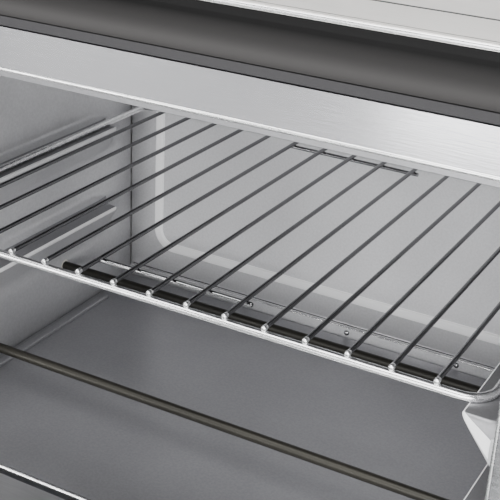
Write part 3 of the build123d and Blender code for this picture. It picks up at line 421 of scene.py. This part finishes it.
def turn(shape, profile, place, segments=40, wobble=None, finish_of=None):
    """A profile of (radius, height) turned round the z axis of a placing matrix, closed at its ends."""
    rows = []
    for radius, height in profile:
        row = []
        for i in range(segments):
            angle = 2 * math.pi * i / segments
            reach = radius * (wobble(angle, height) if wobble else 1.0)
            row.append(place @ Vector((reach * math.cos(angle), reach * math.sin(angle), height)))
        rows.append(row)
    grid = skin(shape, rows, closed=True, finish_of=finish_of)
    for end, row in ((grid[0], 0), (grid[-1], len(rows) - 1)):
        face = shape.faces.new(end)
        if finish_of:
            face.material_index = finish_of(row, 0)


def tube(shape, points, radius, segments=16, closed=False):
    """A round wire along points."""
    count = len(points)
    rows = []
    side = None
    for i, point in enumerate(points):
        before = points[i - 1] if closed or i else point
        after = points[(i + 1) % count] if closed or i < count - 1 else point
        along = (after - before).normalized()
        if side is None:
            side = along.orthogonal().normalized()
        side = (side - along * side.dot(along)).normalized()
        other = along.cross(side)
        ring = [2 * math.pi * k / segments for k in range(segments)]
        rows.append([point + (side * math.cos(a) + other * math.sin(a)) * radius for a in ring])
    if closed:
        rows.append(rows[0])
    grid = skin(shape, rows, closed=True)
    if not closed:
        shape.faces.new(grid[0])
        shape.faces.new(grid[-1])


def block(shape, place, size, top_share=1.0):
    """A block with its base at the placing matrix's origin; its top may be narrower."""
    rows = []
    steps = ((0.0, 1.0), (0.55, 1.0), (0.9, 0.5 + top_share / 2), (1.0, top_share))
    for rise, share in steps:
        half_x, half_y = size[0] / 2 * share, size[1] / 2 * (1 - (1 - share) * size[0] / size[1])
        corner = min(half_x, half_y) * 0.6
        row = []
        for sx, sy, start in ((1, 1, 0), (-1, 1, 90), (-1, -1, 180), (1, -1, 270)):
            for step in range(5):
                angle = math.radians(start + 22.5 * step)
                x = sx * (half_x - corner) + corner * math.cos(angle)
                y = sy * (half_y - corner) + corner * math.sin(angle)
                row.append(place @ Vector((x, y, size[2] * rise)))
        rows.append(row)
    grid = skin(shape, rows, closed=True)
    shape.faces.new(grid[0])
    shape.faces.new(grid[-1])


def facing(point, axis):
    """A matrix that puts the origin at a point with its z axis along a direction."""
    return Matrix.Translation(point) @ Vector(axis).to_track_quat("Z", "Y").to_matrix().to_4x4()


def apply_modifiers(piece):
    """Keep what the piece's modifiers make as its own mesh."""
    graph = bpy.context.evaluated_depsgraph_get()
    made = bpy.data.meshes.new_from_object(piece.evaluated_get(graph))
    piece.modifiers.clear()
    piece.data = made


def smoothstep(low, high, value):
    """A smooth rise from 0 to 1 between two values."""
    t = min(1.0, max(0.0, (value - low) / (high - low)))
    return t * t * (3 - 2 * t)


# ---------------------------------------------------------------- cavity walls

SHEET = 0.8 * MM
GUIDE_OUT = 20.0 * MM
GUIDE_RISE = 3.0 * MM  # how far the slope above a ledge climbs
GUIDE_DROP = 27.0 * MM
GUIDE_PITCH = 56.0 * MM
SHELF_IN = 7.5 * MM
LIP_DROP = 2.2 * MM
GUIDE_START = 6.8 * MM
GUIDE_END = 216.0 * MM
GUIDE_CLOSE = 28.0 * MM
GUIDE_OPEN = 6.0 * MM
CORNER_GAP = 1.5 * MM
REAR_STRIP = 0.15 * MM  # how far the wall behind the guides steps outwards
HOLE_R = 4.1 * MM  # round each end of a heating element
WALL_STEPS = 7
STEEP_CLOSE = (-0.12, 0.62)  # where the faster part of a guide's closing starts and ends
SLOW_CLOSE = (0.3, 1.0)
STEEP_SHARE = 0.72
ELEMENTS = [f"{level}_{side}_element" for level in ("lower", "upper") for side in ("front", "rear")]
PLAIN, SHELF_SHADE, EDGE_HIGHLIGHT = range(3)  # a side wall's plain steel, its painted shade on the guides' shelves and its painted highlight on their edges
PAINTED_LIGHT_STARTS = 0.3  # share of the full depth at which a guide's painted shade and highlight begin
LEDGE_SLACK = 0.05 * MM


def guide_share(y):
    """How far a guide stands out at a place along the wall, as a share of its full depth."""
    start = smoothstep(FRONT_Y + GUIDE_START, FRONT_Y + GUIDE_START + GUIDE_OPEN, y)
    along = (y - FRONT_Y - GUIDE_END) / GUIDE_CLOSE
    if along <= 0:
        return start
    if along >= 1:
        return 0.0
    steep = smoothstep(*STEEP_CLOSE, along) * STEEP_SHARE
    slow = smoothstep(*SLOW_CLOSE, along) * (1 - STEEP_SHARE)
    return start * (1 - steep - slow)


def wall_section(ledge_z):
    """A guide's section from its foot to its top, as (out of the wall, height)."""
    points = [
        (0, ledge_z - GUIDE_DROP - 6 * MM),
        (0, ledge_z - GUIDE_DROP),
        (GUIDE_OUT, ledge_z - LIP_DROP),
        (GUIDE_OUT, ledge_z),
        (SHELF_IN, ledge_z),
        (0, ledge_z + GUIDE_RISE),
        (0, ledge_z + GUIDE_RISE + 4 * MM),
    ]
    radii = [5.0 * MM, 1.0 * MM, 1.0 * MM, 2.2 * MM, 2.0 * MM]
    return rounded(points, radii, WALL_STEPS)


def make_side_wall(node, inward, name):
    """A cavity side wall as one pressed sheet, with its two guides closing smoothly at their ends."""
    low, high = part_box(node)
    face_x = low.x + SHEET if inward > 0 else high.x - SHEET
    guides = [wall_section(LEDGE_Z - GUIDE_PITCH), wall_section(LEDGE_Z)]
    stations = [low.y, FRONT_Y + GUIDE_START]
    stations += [FRONT_Y + GUIDE_START + GUIDE_OPEN * i / 8 for i in range(1, 9)]
    guide_end = FRONT_Y + GUIDE_END
    stations += [guide_end - 60 * MM, guide_end - 6 * MM]
    stations += [guide_end + GUIDE_CLOSE * i / 28 for i in range(-4, 29)]
    stations = sorted(set(stations))
    rear_start = stations[-1]
    rear_end = high.y - CORNER_GAP
    stations += [rear_start + 1.5 * MM, rear_end - 1.2 * MM, rear_end]
    rows = []
    for y in stations:
        share = guide_share(y)
        lean = -REAR_STRIP * smoothstep(rear_start, rear_start + 2 * MM, y)
        if y == stations[-1]:
            lean -= 0.5 * MM
        row = [Vector((lean, low.z))]
        for guide in guides:
            flat_low, flat_high = guide[0].y, guide[-1].y
            for number, (out, z) in enumerate(guide):
                flat_z = flat_low + (flat_high - flat_low) * number / (len(guide) - 1)
                row.append(Vector((out * share + lean, z * share + flat_z * (1 - share))))
        row.append(Vector((lean, high.z)))
        rows.append([Vector((face_x + inward * out, y, z)) for out, z in row])
    sections = [(0, low.z)] + [tuple(point) for guide in guides for point in guide] + [(0, high.z)]
    ledges = (LEDGE_Z - GUIDE_PITCH, LEDGE_Z)

    def guide_painted_light(row, column):
        """The shelf of a guide is painted dark as shade, and its edge is painted bright as a highlight."""
        if guide_share(stations[row]) < PAINTED_LIGHT_STARTS:
            return PLAIN
        (out_a, z_a), (out_b, z_b) = sections[column], sections[column + 1]
        out, z = (out_a + out_b) / 2, (z_a + z_b) / 2
        for ledge_z in ledges:
            ledge_low = ledge_z - LEDGE_SLACK
            if out > GUIDE_OUT * 0.85 and ledge_z - LIP_DROP - 0.4 * MM < z < ledge_low:
                return EDGE_HIGHLIGHT
            if out > 0.6 * MM and ledge_low <= z < ledge_z + GUIDE_RISE * 0.5:
                return SHELF_SHADE
        return PLAIN

    shape = bmesh.new()
    skin(shape, rows, finish_of=guide_painted_light)
    # plain steel, the guides' painted shade on their shelves and painted highlight on their edges
    finishes = [FINISHES["cavity_steel"], PAINTED_SHADE_STEEL, PAINTED_HIGHLIGHT_SHEET]
    piece = finish_piece(name, shape, "cavity_steel", "casing", [node], finishes, 50)
    # the sheet faces into the cavity and gets its thickness on the outside
    inner = piece.data.polygons[0].normal.x * inward > 0
    thick = piece.modifiers.new("thickness", "SOLIDIFY")
    thick.thickness = SHEET
    thick.offset = -1.0 if inner else 1.0
    cutter = bmesh.new()
    for element in ELEMENTS:
        rod_low, rod_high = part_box(element)
        middle = (rod_low + rod_high) / 2
        place = facing((face_x, middle.y, middle.z), (1, 0, 0))
        turn(cutter, [(HOLE_R, -6 * MM), (HOLE_R, 6 * MM)], place, 32)
    cutter_mesh = bpy.data.meshes.new("cutter")
    bmesh.ops.recalc_face_normals(cutter, faces=cutter.faces)
    cutter.to_mesh(cutter_mesh)
    cutter.free()
    holes = bpy.data.objects.new("cutter", cutter_mesh)
    bpy.context.collection.objects.link(holes)
    cut = piece.modifiers.new("holes", "BOOLEAN")
    cut.operation = "DIFFERENCE"
    cut.solver = "EXACT"
    cut.object = holes
    apply_modifiers(piece)
    bpy.data.objects.remove(holes)


make_side_wall("cavity_left_wall", 1, "pressed_left_wall")
make_side_wall("cavity_right_wall", -1, "pressed_right_wall")

# ---------------------------------------------------------------- cavity back wall

RIB_EDGE = 20.0 * MM
RIB_W = 7.0 * MM
RIB_OUT = 1.2 * MM
RIB_R = 16.0 * MM
RIB_BOTTOM = 61.0 * MM
RIB_TOP = 262.0 * MM
RIB_BEND = 1.3 * MM  # width of each flank of the rib
SKIRT_OUT = 1.2 * MM
SKIRT_TOP = 42.8 * MM
CORNER_STEPS = 10


def ring(x0, x1, z0, z1, radius, y):
    """A rounded rectangle of points at a depth."""
    points = []
    for x, z, start in ((x1, z1, 0), (x0, z1, 90), (x0, z0, 180), (x1, z0, 270)):
        centre_x = x - math.copysign(radius, x - (x0 + x1) / 2)
        centre_z = z - math.copysign(radius, z - (z0 + z1) / 2)
        for step in range(CORNER_STEPS + 1):
            angle = math.radians(start + 90 * step / CORNER_STEPS)
            x_on, z_on = radius * math.cos(angle), radius * math.sin(angle)
            points.append(Vector((centre_x + x_on, y, centre_z + z_on)))
    return points


def make_back_wall():
    """The cavity's back panel: a rounded rib pressed out of it and a stepped skirt at its foot."""
    low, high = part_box("cavity_back_wall")
    skirt_top = SKIRT_TOP + SKIRT_OUT + 1.5 * MM
    shape = bmesh.new()
    rows = [ring(low.x, high.x, skirt_top, high.z, 0.2 * MM, BACK_Y)]
    sides = [(0, 0), (0.25, 0.08), (0.5, 0.5), (0.75, 0.92), (1, 1)]
    section = [(RIB_BEND * t, RIB_OUT * rise) for t, rise in sides]
    section += [(RIB_W - RIB_BEND * t, RIB_OUT * rise) for t, rise in reversed(sides)]
    for inset, out in section:
        left, right = low.x + RIB_EDGE + inset, high.x - RIB_EDGE - inset
        bottom, top = RIB_BOTTOM + inset, RIB_TOP - inset
        rows.append(ring(left, right, bottom, top, RIB_R - inset, BACK_Y - out))
    # the rib takes the pale copy of the steel, a painted highlight
    on_rib = range(1, len(section))
    grid = skin(shape, rows, closed=True, finish_of=lambda row, column: int(row in on_rib))
    shape.faces.new(grid[-1])
    profile = [
        (BACK_Y, skirt_top),
        (BACK_Y, SKIRT_TOP + SKIRT_OUT),
        (BACK_Y - SKIRT_OUT, SKIRT_TOP),
        (BACK_Y - SKIRT_OUT, low.z),
    ]
    line = rounded(profile, [0.6 * MM, 0.8 * MM], 4)
    skin(shape, [[Vector((x, y, z)) for y, z in line] for x in (low.x, high.x)])
    piece = finish_piece(
        "pressed_back_wall",
        shape,
        "cavity_steel",
        "casing",
        ["cavity_back_wall"],
        [FINISHES["cavity_steel"], PAINTED_HIGHLIGHT_SHEET],
        50,
    )
    thick = piece.modifiers.new("thickness", "SOLIDIFY")
    thick.thickness = SHEET
    facing_front = piece.data.polygons[-1].normal.y < 0
    thick.offset = -1.0 if facing_front else 1.0
    apply_modifiers(piece)


make_back_wall()

BEAD_R = 0.7 * MM
SKIRT_END = 2.0 * MM  # from the end of a bead or a crease to the side wall
SKIRT_BEADS = (0.0, 12.4)  # below the skirt's top edge, in mm
SKIRT_CREASES = ((-1.3, 1.2), (10.4, 2.2))  # below the skirt's top edge, and how wide, in mm


def make_skirt_details():
    """The beads along the skirt, painted bright as a highlight, dark blocks in the creases between them as
    painted shade, and its rivets.
    """
    low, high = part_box("cavity_back_wall")
    skirt_y = BACK_Y - SKIRT_OUT
    beads = bmesh.new()
    for drop in SKIRT_BEADS:
        z = SKIRT_TOP - drop * MM
        stops = (low.x + SKIRT_END, 0.0, high.x - SKIRT_END)
        line = [Vector((x, skirt_y + BEAD_R * 0.4, z)) for x in stops]
        tube(beads, line, BEAD_R)
    finish_piece("skirt_beads", beads, "cavity_steel", "casing", materials=[CHROME_PAINTED_HIGHLIGHT])
    creases = bmesh.new()
    mid_x = (low.x + high.x) / 2
    length = high.x - low.x - 2 * SKIRT_END
    for drop, width in SKIRT_CREASES:
        y = skirt_y if drop > 0 else BACK_Y
        place = facing((mid_x, y, SKIRT_TOP - drop * MM), (0, -1, 0))
        block(creases, place, (length, width * MM, 0.2 * MM))
    # the creases' dark blocks are painted shade
    finish_piece("skirt_creases", creases, "cavity_steel", "casing", materials=[DARK_CHROME])
    rivets = bmesh.new()
    rivet_low, rivet_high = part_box("back_wall_rivets")
    radius = (rivet_high.z - rivet_low.z) / 2
    middle = (rivet_low + rivet_high) / 2
    profile = [(radius, -0.5 * MM), (radius, 0.8 * MM), (radius * 0.6, 1.4 * MM), (radius * 0.2, 1.6 * MM)]
    for x in (rivet_low.x + radius, middle.x, rivet_high.x - radius):
        turn(rivets, profile, facing((x, skirt_y, middle.z), (0, -1, 0)), 24)
    finish_piece("skirt_rivets", rivets, "fastener_steel", "casing", ["back_wall_rivets"], [DARK_CHROME])


make_skirt_details()

# ---------------------------------------------------------------- cover edge

HEM_R = 1.5 * MM
HEM_OUT = 0.3 * MM
HEM_BEND = 7 * MM


def make_hem():
    """The rolled front edge of the outer cover, over its top and down to the frame, polished and painted
    bright as a highlight.
    """
    low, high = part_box("outer_cover")
    bezel_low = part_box("front_bezel")[0]
    y = low.y + HEM_R - HEM_OUT
    x0, x1, top = low.x + HEM_R, high.x - HEM_R, high.z - HEM_R
    corners = [(x0, y, bezel_low.z), (x0, y, top), (x1, y, top), (x1, y, bezel_low.z)]
    path = rounded(corners, [HEM_BEND, HEM_BEND], 8)
    shape = bmesh.new()
    tube(shape, path, HEM_R)
    finish_piece("cover_hem", shape, "cover_steel", "casing", materials=[POLISH_AND_HIGHLIGHT])


make_hem()

EDGE_R = 1.1 * MM
EDGE_OUT = 0.3 * MM
OPENING_X = (-222 * MM, 122 * MM)  # the door opening in the front frame
OPENING_Z = (58 * MM, 267.3 * MM)
OPENING_R = 12 * MM


def make_opening_edge():
    """The rolled edge round the door opening in the front frame, polished and painted bright as a
    highlight.
    """
    (x0, x1), (z0, z1) = OPENING_X, OPENING_Z
    y = FRONT_Y + EDGE_R - EDGE_OUT
    loop = ring(x0 - EDGE_R, x1 + EDGE_R, z0 - EDGE_R, z1 + EDGE_R, OPENING_R + EDGE_R, y)
    shape = bmesh.new()
    tube(shape, loop, EDGE_R, closed=True)
    finish_piece("opening_edge", shape, "frame_steel", "casing", materials=[POLISH_AND_HIGHLIGHT])


make_opening_edge()

GROOVES = ((2.6, 0.9, 0.5), (33.2, 2.6, 0.6))  # start behind the front edge, width, depth, in mm
GROOVE_GAP = 0.12 * MM  # from a groove's painted shadow up to the sheet
GROOVE_ENDS = 26 * MM  # both ends together


def make_groove_shadows():
    """Painted shadows: dark blocks in the bottoms of the crease and the bead pressed into the cover's top.
    """
    low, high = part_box("outer_cover")
    for number, (start, width, depth) in enumerate(GROOVES):
        shape = bmesh.new()
        middle_y = low.y + (start + width / 2) * MM
        base_z = high.z - depth * MM
        place = Matrix.Translation(((low.x + high.x) / 2, middle_y, base_z))
        block(shape, place, (high.x - low.x - GROOVE_ENDS, width * MM, depth * MM - GROOVE_GAP))
        name = f"cover_groove_{number + 1}"
        finish_piece(name, shape, "cover_steel", "casing", materials=[PAINTED_GROOVE_SHADOW])


make_groove_shadows()

# ---------------------------------------------------------------- rack rods

ROD_COUNT = 15
ROD_TIP = 3.0  # length of a rod's swollen tip, polished and painted bright as a highlight, in mm


def make_rods():
    """The rack's rods: wire painted dark as shade, with slightly swollen tips where they were cropped,
    polished and painted bright as a highlight.
    """
    low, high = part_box("rack_rods")
    radius = (high.z - low.z) / 2
    length = high.y - low.y
    pitch = (high.x - low.x - 2 * radius) / (ROD_COUNT - 1)
    tip = [(0.25, 0.0), (0.8, 0.1), (1.1, 0.35), (1.22, 0.8), (1.2, 1.6), (1.08, 2.5), (1.0, ROD_TIP)]
    start = [(radius * share, reach * MM) for share, reach in tip]
    end = [(share, length - reach) for share, reach in reversed(start)]
    shaft_row = len(tip) - 1
    shape = bmesh.new()
    for i in range(ROD_COUNT):
        place = facing((low.x + radius + i * pitch, low.y, RACK.z), (0, 1, 0))
        turn(shape, start + end, place, 20, finish_of=lambda row, column: int(row != shaft_row))
    # the shafts take the chrome painted dark as shade, the tips the polish with a painted highlight
    finishes = [FINISHES["rack_chrome"], POLISH_AND_HIGHLIGHT]
    finish_piece("rack_wire_rods", shape, "rack_chrome", "rack", ["rack_rods"], finishes, 50)


make_rods()

# ---------------------------------------------------------------- controls

DIALS = ("temperature", "function", "timer")
FLUTES = 28
FLUTE_DEPTH = 0.35 * MM
GRIP_RISE = 5.0 * MM
GRIP_W = 9.0 * MM
POINTER_W = 1.4 * MM
TICKS = 11
LONG_TICK_EVERY = 5
LONG_TICK = 4.0 * MM
SHORT_TICK = 2.4 * MM
TICK_W = 0.7 * MM
TICK_GAP = 2.5 * MM  # from the knob's rim to the ticks
TICK_SWEEP = 270.0


def make_knob(use):
    """A fluted knob with a skirt, a grip bar and a pale pointer line."""
    low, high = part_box(use + "_knob")
    middle = (low + high) / 2
    radius = (high.x - low.x) / 2
    depth = high.y - low.y
    place = facing((middle.x, high.y, middle.z), (0, -1, 0))
    body_top = depth - GRIP_RISE
    shape = bmesh.new()
    skirt = [(radius - 1 * MM, 0), (radius, 0.6 * MM), (radius, 2.6 * MM), (radius - 1.2 * MM, 4 * MM)]
    turn(shape, skirt, place, 96)
    barrel = [
        (radius - 2.4 * MM, 3 * MM),
        (radius - 2.9 * MM, 5 * MM),
        (radius - 3.3 * MM, body_top - 1.5 * MM),
        (radius - 3.9 * MM, body_top - 0.4 * MM),
        (radius - 5.2 * MM, body_top),
    ]
    flute = FLUTE_DEPTH / radius

    def wobble(angle, height):
        """Flutes that fade out below the knob's face."""
        fade = smoothstep(body_top, body_top - 2 * MM, height) if height < body_top else 0.0
        return 1 - flute * fade * (1 + math.cos(FLUTES * angle))

    turn(shape, barrel, place, FLUTES * 8, wobble)
    grip = place @ Matrix.Translation((0, 0, body_top - 1 * MM))
    block(shape, grip, (GRIP_W, radius * 1.62, GRIP_RISE + 1 * MM), 0.72)
    finish_piece(f"{use}_grip_knob", shape, "knob_black", f"{use}_dial", [use + "_knob"], smooth=40)
    line = bmesh.new()
    tip = place @ Matrix.Translation((0, radius * 0.52, depth - 0.25 * MM))
    block(line, tip, (POINTER_W, radius * 0.5, 0.45 * MM), 0.8)
    finish_piece(f"{use}_pointer", line, "knob_black", f"{use}_dial", materials=[WHITE_PRINT])


def make_dial_marks():
    """Rings of plain ticks on the control panel round the knobs."""
    panel_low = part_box("control_panel")[0]
    shape = bmesh.new()
    for use in DIALS:
        low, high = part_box(use + "_knob")
        middle = (low + high) / 2
        radius = (high.x - low.x) / 2
        place = facing((middle.x, panel_low.y + 0.1 * MM, middle.z), (0, -1, 0))
        for i in range(TICKS):
            angle = math.radians(TICK_SWEEP * (i / (TICKS - 1) - 0.5))
            length = LONG_TICK if i % LONG_TICK_EVERY == 0 else SHORT_TICK
            outward = Matrix.Translation((0, radius + TICK_GAP + length / 2, 0))
            spin = Matrix.Rotation(-angle, 4, "Z") @ outward
            block(shape, place @ spin, (TICK_W, length, 0.22 * MM))
    finish_piece("dial_marks", shape, "gloss_black", "casing", materials=[WHITE_PRINT])


for dial in DIALS:
    make_knob(dial)
make_dial_marks()

# ---------------------------------------------------------------- screws

SCREW_HEAD_R = 3.5 * MM
SCREW_HEAD_H = 2.2 * MM
SCREW_SHANK_R = 1.7 * MM
SCREW_LENGTH = 6.0 * MM


def cross_head(shape, place, radius, height):
    """A domed screw head with a cross recess in it."""
    profile = [
        (radius, 0),
        (radius, height * 0.3),
        (radius * 0.9, height * 0.7),
        (radius * 0.72, height * 0.92),
    ]
    rows = []
    segments = 24
    for reach, rise in profile:
        angles = [2 * math.pi * i / segments for i in range(segments)]
        rows.append([place @ Vector((reach * math.cos(a), reach * math.sin(a), rise)) for a in angles])
    grid = skin(shape, rows, closed=True)
    shape.faces.new(grid[0])
    arm, half = radius * 0.52, radius * 0.11
    outline = []
    for quarter in range(4):
        turn_by = Matrix.Rotation(math.pi / 2 * quarter, 2)
        outline += [turn_by @ Vector(point) for point in ((half, half), (arm, half), (arm, -half))]
    outline = [outline[i] for quarter in (0, 3, 2, 1) for i in range(quarter * 3, quarter * 3 + 3)]
    loops = []
    for rise in (height * 0.92, height * 0.35):
        loops.append([shape.verts.new(place @ Vector((p.x, p.y, rise))) for p in outline])
    rim = [shape.edges.get((grid[-1][i], grid[-1][(i + 1) % segments])) for i in range(segments)]
    count = len(outline)
    mouth = [shape.edges.new((loops[0][i], loops[0][(i + 1) % count])) for i in range(count)]
    bmesh.ops.triangle_fill(shape, use_beauty=True, use_dissolve=False, edges=rim + mouth)
    for i in range(count):
        j = (i + 1) % count
        shape.faces.new((loops[0][i], loops[0][j], loops[1][j], loops[1][i]))
    shape.faces.new(loops[1])


def make_rear_screws():
    """Cross-head screws with short shanks round the edge of the rear cover."""
    low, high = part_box("rear_screws")
    seat_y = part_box("rear_cover")[1].y
    shank = [
        (SCREW_SHANK_R, 0.1 * MM),
        (SCREW_SHANK_R, 1 * MM - SCREW_LENGTH),
        (SCREW_SHANK_R * 0.5, -SCREW_LENGTH),
    ]
    shape = bmesh.new()
    for x in (low.x + SCREW_HEAD_R, (low.x + high.x) / 2, high.x - SCREW_HEAD_R):
        for z in (low.z + SCREW_HEAD_R, high.z - SCREW_HEAD_R):
            place = facing((x, seat_y, z), (0, 1, 0))
            cross_head(shape, place, SCREW_HEAD_R, SCREW_HEAD_H)
            turn(shape, shank, place, 20)
    finish_piece("rear_cross_screws", shape, "fastener_steel", "casing", ["rear_screws"], smooth=40)


make_rear_screws()
